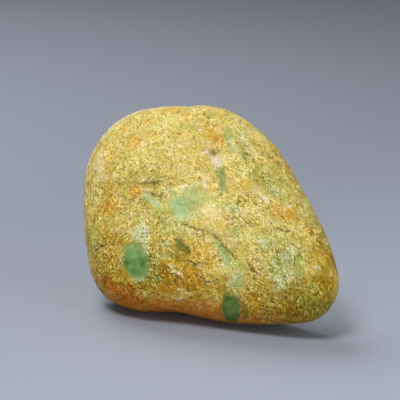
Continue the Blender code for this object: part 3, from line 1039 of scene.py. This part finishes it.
def skin_tone(stone, grain):
    """How much lighter (above 0) or darker (below 0) than usual each grain is, painted light and
    shade included.
    """
    crystals = stone.noise(grain.place, *CRYSTAL_NOISE)
    streaks = stone.noise(grain.streak_place, *STREAK_NOISE)
    grit = stone.summed(
        (stone.centred(crystals), CRYSTAL_TONE),
        (stone.times(stone.centred(streaks), stone.mark("streaky")), STREAK_TONE),
        (stone.centred(grain.fine_random["Red"]), FINE_GRAIN_TONE),
        (stone.centred(grain.random["Red"]), GRAIN_TONE),
    )
    # Some parts of the skin are coarse and sparkling, others nearly even
    patches = stone.noise(grain.place, *PATCH_NOISE)
    coarse = stone.ramp_between(patches, *COARSE_DRIFT)
    lively = stone.summed(
        (stone.mark("smooth"), -SMOOTH_CALM),
        (stone.mark("ochre"), OCHRE_LIVELY),
        start=1.0,
    )
    tone = stone.calc("ADD", stone.centred(patches), stone.times(grit, coarse, lively))
    # The marks of painted light and shade, with some of the skin's own tone
    return stone.summed((stone.mark("painted_light_and_tone"), PAINTED_LIGHT_TONE), start=tone)


def stained(stone, colour, mark, drift, patch, stain, most=STAIN_MOST):
    """A colour with a stain where a mark is, broken up by a drift and by patches."""
    breaks = stone.summed(
        (stone.centred(patch), PATCH_BREAKS),
        (stone.centred(drift), DRIFT_BREAKS),
        start=1.0,
    )
    strength = stone.times(stone.mark(mark), breaks)
    return stone.mix(stone.ramp_between(strength, *STAIN_EDGE, 0.0, most), colour, stain)


def skin_colour(stone, grain):
    """The skin without its grain: gold, its drifts to lemon, amber and pink, and its stains."""
    drifts = stone.parts(stone.noise(grain.streak_place, *DRIFT_NOISE, output="Color"))
    patches = stone.parts(stone.noise(grain.place, *STAIN_NOISE, output="Color"))
    colour = stone.mix(stone.ramp_between(drifts["Red"], *LEMON_DRIFT), SKIN_GOLD, SKIN_LEMON)
    colour = stone.mix(stone.ramp_between(patches["Green"], *AMBER_DRIFT), colour, SKIN_AMBER)
    colour = stone.mix(stone.ramp_between(patches["Blue"], *BLUSH_DRIFT), colour, SKIN_BLUSH)

    colour = stained(stone, colour, "ochre", drifts["Blue"], patches["Blue"], OCHRE_STAIN)
    colour = stained(stone, colour, "iron", drifts["Green"], patches["Red"], IRON_STAIN)
    colour = stained(stone, colour, "rust", drifts["Red"], patches["Green"], RUST_STAIN)
    colour = stained(stone, colour, "veil", drifts["Blue"], patches["Red"], JADE_VEIL, VEIL_MOST)
    colour = stained(stone, colour, "milk", drifts["Green"], patches["Blue"], JADE_MILK)

    # Quartz, and the painted highlights laid in with it
    crystals = stone.centred(stone.noise(grain.place, *QUARTZ_NOISE))
    quartz_and_rim_highlight = stone.summed((crystals, QUARTZ_BREAKS), start=stone.mark("quartz_and_rim_highlight"))
    near_quartz = stone.ramp_between(stone.mark("quartz_and_rim_highlight"), *NEAR_QUARTZ)
    share = stone.times(stone.ramp_between(quartz_and_rim_highlight, *QUARTZ_EDGE), near_quartz)
    return stone.mix(share, colour, QUARTZ_AND_HIGHLIGHT)


def skin_flaws(stone, grain, worn):
    """Gaps between grains, broken fissures, dark specks, cracks and a painted highlight beside
    them, each as a share from 0 to 1.
    """
    fissures = stone.cells(grain.broken_place, FISSURE_SIZE, "DISTANCE_TO_EDGE")["Distance"]
    fissured = stone.ramp_between(stone.noise(grain.place, *FISSURED_NOISE), *FISSURED)
    specks = stone.cells(grain.place, SPECK_SIZE)
    specked = stone.ramp_between(stone.parts(specks["Color"])["Red"], *SPECKED)
    crack_noise = stone.centred(stone.noise(grain.place, *CRACK_NOISE))
    from_crack = stone.summed((crack_noise, CRACK_BREAKS), start=stone.mark("from_crack"))
    return {
        "gap": stone.ramp_between(grain.gaps, *GAP_EDGE),
        "fissure": stone.times(stone.ramp_between(fissures, *FISSURE_EDGE), fissured, worn),
        "speck": stone.times(stone.ramp_between(specks["Distance"], *SPECK_EDGE), specked, worn),
        "crack": stone.ramp_between(from_crack, *CRACK_EDGE),
        # A painted highlight along the lit edge of each crack
        "lit_edge": stone.times(
            stone.ramp_between(from_crack, *LIT_EDGE_START),
            stone.ramp_between(from_crack, *LIT_EDGE_END),
        ),
    }


def grained_skin(stone, grain, flaws, worn):
    """The skin with the tones of its grains and with its flaws."""
    skin = skin_colour(stone, grain)
    tone = skin_tone(stone, grain)
    for start, end in SHADED_TONES:
        shaded = stone.mix(1.0, skin, TONE_SHADE, "MULTIPLY")
        skin = stone.mix(stone.slope_between(tone, start, end), skin, shaded)
    off_rust = stone.summed((stone.mark("rust"), -RUST_CALM), start=1.0)
    cream = stone.times(stone.slope_between(tone, *CREAM_TONES), off_rust)
    skin = stone.mix(cream, skin, TONE_CREAM)

    # Here and there a fine grain is a clear white crystal, which also stands as a painted glint
    white_crystal_and_glint = stone.ramp_between(grain.fine_random["Blue"], *WHITE_CRYSTALS_AND_GLINTS)
    white_crystal_and_glint = stone.times(white_crystal_and_glint, worn, off_rust)
    for share, strength, colour in (
        (flaws["gap"], 1.0, GAP_OLIVE),
        (flaws["fissure"], FISSURE_COLOUR, GAP_OLIVE),
        (flaws["speck"], SPECK_COLOUR, GAP_OLIVE),
        (white_crystal_and_glint, 1.0, TONE_CREAM),
        (flaws["crack"], CRACK_COLOUR, CRACK_BROWN),
        (flaws["lit_edge"], LIT_EDGE_COLOUR, QUARTZ_AND_HIGHLIGHT),
    ):
        skin = stone.mix(stone.times(share, strength), skin, colour)
    return skin


def jade_colour(stone, grain):
    """The jade of the windows: clouded green, from deep to mint, with its olive cast."""
    pale = stone.summed(
        (stone.centred(stone.noise(grain.place, *CLOUD_NOISE)), JADE_CLOUD),
        (stone.mark("cloud"), 1.0),
        (stone.centred(grain.fine_random["Green"]), JADE_GRAIN),
        start=stone.mark("pale"),
    )
    jade = stone.ramp(pale, *JADE_COLOURS)
    return stone.mix(stone.mark("olive"), jade, stone.ramp(pale, *OLIVE_COLOURS))


def jade_share(stone, grain):
    """How much of the windows' jade shows, with wandering edges."""
    edge = stone.summed(
        (stone.centred(stone.noise(grain.place, *EDGE_NOISE)), EDGE_BREAKS),
        (stone.centred(grain.fine_random["Blue"]), EDGE_GRAIN),
        start=stone.mark("inside"),
    )
    return stone.ramp_between(stone.calc("DIVIDE", edge, stone.mark("softness")), *WINDOW_EDGE)


def fine_relief(stone, grain, flaws, jade):
    """The height of the fine relief: tilted grains, grit, flaws, and small broken steps."""
    tilt = stone.move("SUBTRACT", grain.cells["Color"], (0.5, 0.5, 0.5))
    from_middle = stone.move("SUBTRACT", grain.grain_place, grain.cells["Position"])
    steps = stone.cells(grain.broken_place, STEP_SIZE)["Distance"]
    height = stone.summed(
        (stone.move("DOT_PRODUCT", tilt, from_middle), FACET_HEIGHT),
        (flaws["gap"], GAP_HEIGHT),
        (stone.noise(grain.place, *GRIT_NOISE), GRIT_HEIGHT),
        (flaws["speck"], SPECK_HEIGHT),
        (flaws["fissure"], FISSURE_HEIGHT),
        (flaws["crack"], CRACK_HEIGHT),
        (steps, stone.summed((stone.mark("rough"), ROUGH_STEP_HEIGHT), start=STEP_HEIGHT)),
    )
    return stone.times(height, stone.summed((jade, -JADE_POLISH), start=1.0))


def stone_finish():
    """The stone's finish: granular, stained skin, and jade where that has worn through."""
    stone = Finish("boulder_skin")
    grain = Grain(stone)
    worn = stone.calc("SUBTRACT", 1.0, stone.mark("smooth"))
    flaws = skin_flaws(stone, grain, worn)
    skin = grained_skin(stone, grain, flaws, worn)
    jade = jade_share(stone, grain)
    colour = stone.mix(jade, skin, jade_colour(stone, grain))
    stone.feed(stone.shader.inputs["Base Color"], colour)

    roughness = stone.summed((grain.random["Blue"], ROUGHNESS_SPREAD), start=SKIN_ROUGHNESS)
    jade_rougher = stone.calc("SUBTRACT", JADE_ROUGHNESS, roughness)
    roughness = stone.summed((jade, jade_rougher), start=roughness)
    stone.feed(stone.shader.inputs["Roughness"], roughness)
    stone.shader.inputs["Specular IOR Level"].default_value = GLOSS

    height = fine_relief(stone, grain, flaws, jade)
    bump = stone.add("ShaderNodeBump", {"Height": height, "Distance": MM, "Strength": 1.0})
    stone.feed(stone.shader.inputs["Normal"], bump.outputs["Normal"])
    return stone.material


def boulder():
    """The stone as it shows: the frame's form with its skin's relief and finish."""
    mesh = smooth_skin_mesh()
    carve_skin(mesh)
    mesh.shade_smooth()
    mesh.materials.clear()
    mesh.materials.append(stone_finish())
    stone = bpy.data.objects.new("boulder_stone", mesh)
    bpy.context.scene.collection.objects.link(stone)
    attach(stone, "root")
    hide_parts("boulder")


# Painted light falloff on the paper: its colour near the camera, lit, and farther off, in painted
# shade, the direction in which it changes, and how far along that the change starts and ends
LIT_FLOOR_NEAR = (0.302, 0.330, 0.398, 1.0)
SHADED_FLOOR_FAR = (0.208, 0.229, 0.281, 1.0)
PAINTED_FALLOFF = (-1.46, 1.0, 0.0)
PAINTED_FALLOFF_SPAN = (-0.25, 0.3)
# The floor's side and the size of the paper's grain, in metres, and how rough the paper is
FLOOR_SIZE = 8.0
PAPER_GRAIN = 1 / 900
PAPER_ROUGHNESS = (0.3, 0.7, 0.7, 0.8)


def studio_floor():
    """A plain pale floor, painted lighter in front and darker behind, well past the edges of the
    picture.
    """
    table = bmesh.new()
    bmesh.ops.create_grid(table, x_segments=1, y_segments=1, size=FLOOR_SIZE / 2)
    mesh = bpy.data.meshes.new("floor")
    table.to_mesh(mesh)
    table.free()
    paper = Finish("floor_paper")
    place = paper.place()
    # Painted light falloff: lighter towards the camera and the right, darker behind and to the left
    farther = paper.move("DOT_PRODUCT", place, PAINTED_FALLOFF)
    colour = paper.mix(paper.ramp_between(farther, *PAINTED_FALLOFF_SPAN), LIT_FLOOR_NEAR, SHADED_FLOOR_FAR)
    paper.feed(paper.shader.inputs["Base Color"], colour)
    roughness = paper.ramp_between(paper.noise(place, PAPER_GRAIN), *PAPER_ROUGHNESS)
    paper.feed(paper.shader.inputs["Roughness"], roughness)
    mesh.materials.append(paper.material)
    floor = bpy.data.objects.new("floor", mesh)
    bpy.context.scene.collection.objects.link(floor)


# Softboxes: place, width and height in metres, power in watts, spread in degrees
SOFTBOXES = {
    "key_light": ((-0.38, -0.65, 1.05), 0.4, 0.4, 11.0, 180),
    "fill_light": ((0.9, -0.7, 0.5), 0.8, 0.8, 3.5, 180),
    "top_light": ((-0.4, 0.48, 0.72), 0.7, 0.4, 5.5, 180),
    "front_light": ((0.05, -0.95, 0.14), 0.5, 0.2, 0.31, 60),
}
# The place that they are turned to, in metres
STONE_HEART = (0.0, 0.0, 0.036)
ROOM_COLOUR = (0.84, 0.84, 0.84, 1.0)
ROOM_STRENGTH = 0.30


def studio_lights():
    """Soft light from the upper left, and weaker light from the right, behind and in front."""
    for name, (place, width, height, power, spread) in SOFTBOXES.items():
        light = bpy.data.lights.new(name, "AREA")
        light.shape = "RECTANGLE"
        light.size = width
        light.size_y = height
        light.energy = power
        light.spread = math.radians(spread)
        softbox = bpy.data.objects.new(name, light)
        softbox.location = place
        softbox.visible_camera = False
        towards = Vector(STONE_HEART) - Vector(place)
        softbox.rotation_euler = towards.to_track_quat("-Z", "Y").to_euler()
        bpy.context.scene.collection.objects.link(softbox)
    room = bpy.data.worlds.new("room")
    room.use_nodes = True
    background = room.node_tree.nodes["Background"]
    background.inputs["Color"].default_value = ROOM_COLOUR
    background.inputs["Strength"].default_value = ROOM_STRENGTH
    bpy.context.scene.world = room
    bpy.context.scene.view_settings.view_transform = "Standard"


# The camera looks square at the broad face from this far, at this point of it (X, Z), and the
# picture is this wide there
CAMERA_DISTANCE = 800.0
PICTURE_MIDDLE = (-0.92, 7.52)
PICTURE_WIDTH = 144.64
SENSOR_WIDTH = 36.0
# The nearest and the farthest that the camera sees, in metres
SEEN_FROM_TO = (0.05, 20.0)


def camera():
    """The camera at the photograph's viewing angle."""
    pose = standing_pose()
    lens = bpy.data.cameras.new("camera")
    lens.sensor_width = SENSOR_WIDTH
    lens.lens = SENSOR_WIDTH * CAMERA_DISTANCE / PICTURE_WIDTH
    lens.clip_start, lens.clip_end = SEEN_FROM_TO
    view = bpy.data.objects.new("camera", lens)
    aside, above = PICTURE_MIDDLE
    place = Vector(FACE_MIDDLE) + pose @ Vector((aside, -CAMERA_DISTANCE, above))
    right, up, back = (pose @ Vector(axis) for axis in ((1, 0, 0), (0, 0, 1), (0, -1, 0)))
    turn = Matrix((right, up, back)).transposed().to_4x4()
    view.matrix_world = Matrix.Translation(place * MM) @ turn
    bpy.context.scene.collection.objects.link(view)
    bpy.context.scene.camera = view


boulder()
studio_floor()
studio_lights()
camera()
